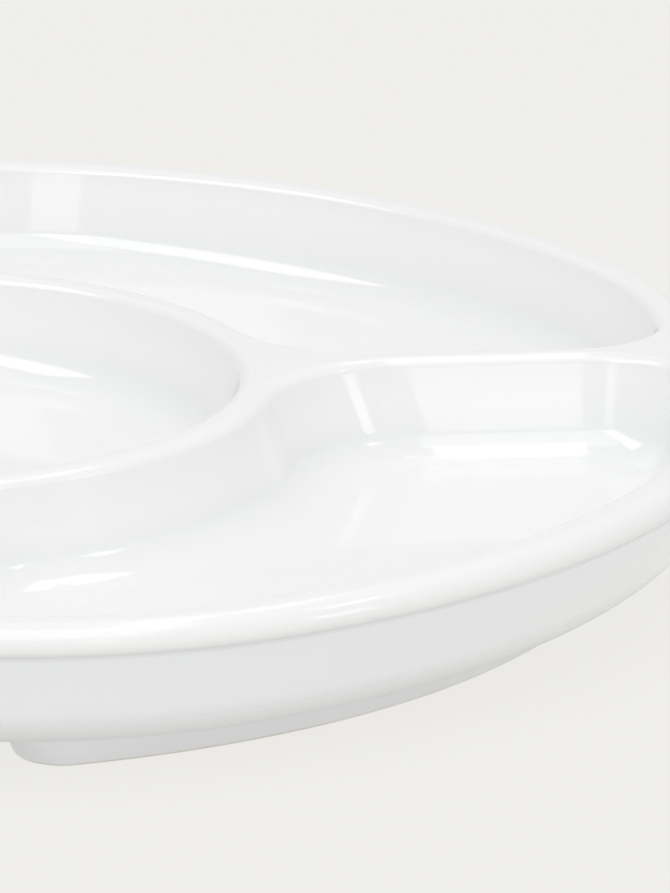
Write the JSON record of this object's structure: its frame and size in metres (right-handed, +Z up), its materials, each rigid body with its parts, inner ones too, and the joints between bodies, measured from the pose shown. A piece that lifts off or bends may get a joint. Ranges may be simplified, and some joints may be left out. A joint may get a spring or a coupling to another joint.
{
  "type": "divided serving platter",
  "caption": "Round lobed porcelain serving platter with straight dividers that part sunken compartments round a raised centre well, a rolled rim and low foot rings.",
  "frame": {"origin": "centre of the plane that the foot rings stand on", "axes": "+Z up, X and Y along the dividers, compartments in the four quadrants"},
  "size_m": [0.2908, 0.2908, 0.029],
  "materials": {
    "glazed_porcelain": "clear gloss glaze on white porcelain",
    "foot_ring": "glazed sides, standing edge wiped bare and ground smooth"
  },
  "bodies": {
    "root": {"rim": "glazed_porcelain", "outer_wall": "glazed_porcelain", "well_wall": "glazed_porcelain", "well_floor": "glazed_porcelain", "divider_1": "glazed_porcelain", "divider_2": "glazed_porcelain", "divider_3": "glazed_porcelain", "divider_4": "glazed_porcelain", "floor_1": "glazed_porcelain", "floor_2": "glazed_porcelain", "floor_3": "glazed_porcelain", "floor_4": "glazed_porcelain", "foot_1": "foot_ring", "foot_2": "foot_ring", "foot_3": "foot_ring", "foot_4": "foot_ring"}
  },
  "joints": []
}
